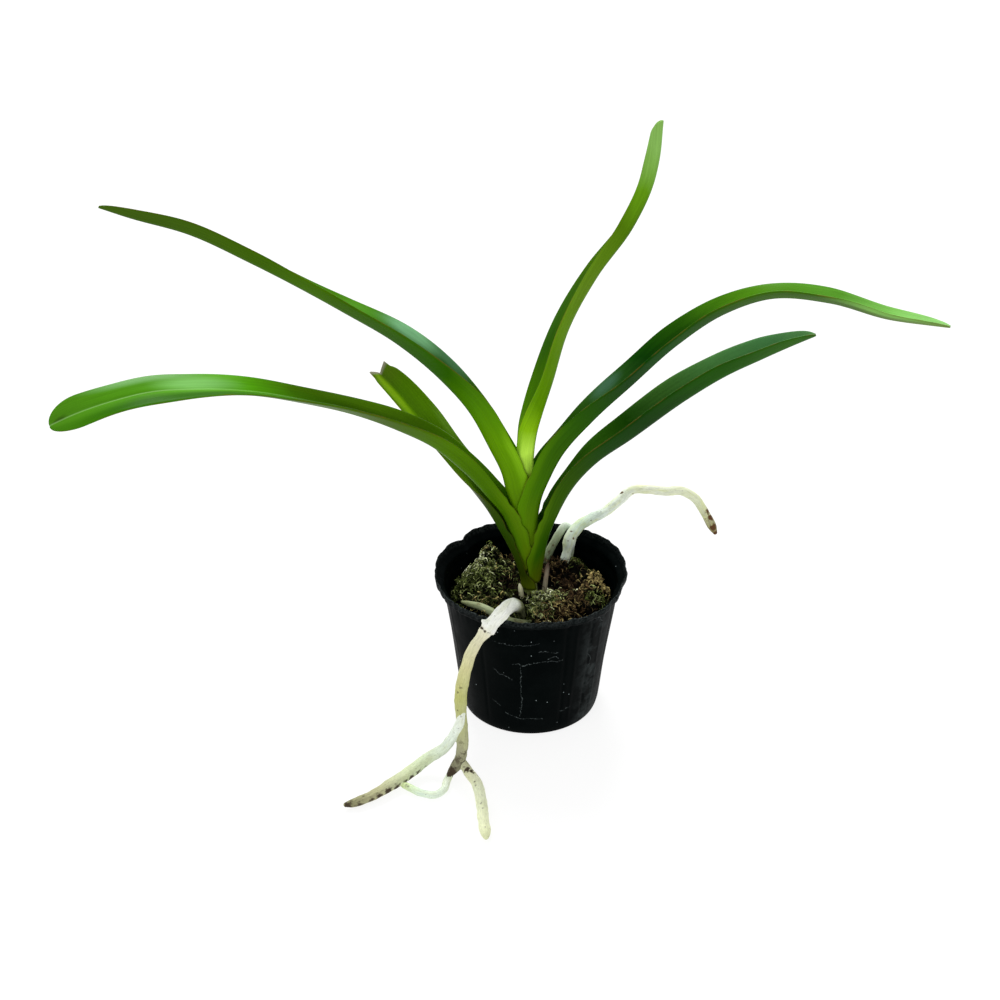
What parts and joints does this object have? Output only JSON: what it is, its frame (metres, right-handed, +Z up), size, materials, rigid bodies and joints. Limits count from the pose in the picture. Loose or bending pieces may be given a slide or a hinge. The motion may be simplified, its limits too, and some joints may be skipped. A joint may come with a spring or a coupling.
{
  "type": "potted orchid plant",
  "caption": "Young orchid in a soft black nursery pot, with a fan of strap leaves, aerial roots over the rim and dark moss as potting mix.",
  "frame": {"origin": "middle of the underside of the pot, where it stands", "axes": "+Z up, the leaf fan spreads along X, and the front seen in the picture faces -Y"},
  "size_m": [0.3925, 0.1621, 0.2933],
  "materials": {
    "pot_plastic": "thin black nursery-pot plastic, satin",
    "potting_moss": "dark curly moss and fibre, matt",
    "stem_green": "green living stem",
    "leaf_left_old": "waxy yellow-green leaf",
    "leaf_right_low": "waxy dark green leaf",
    "leaf_left_low": "waxy mid green leaf",
    "leaf_right_high": "waxy dark green leaf",
    "leaf_left_high": "waxy mid green leaf",
    "leaf_centre": "waxy light green leaf",
    "root_pale": "pale velvety root skin",
    "root_tan": "old pinkish brown root skin"
  },
  "bodies": {
    "root": {"pot": "pot_plastic", "potting_moss": "potting_moss", "stem": "stem_green", "leaf_left_old": "leaf_left_old", "leaf_right_low": "leaf_right_low", "leaf_left_low": "leaf_left_low", "leaf_right_high": "leaf_right_high", "leaf_left_high": "leaf_left_high", "leaf_centre": "leaf_centre", "root_front": "root_pale", "root_back": "root_pale", "root_back_loop": "root_pale", "root_surface": "root_pale", "root_nub": "root_pale", "root_old": "root_tan"}
  },
  "joints": []
}
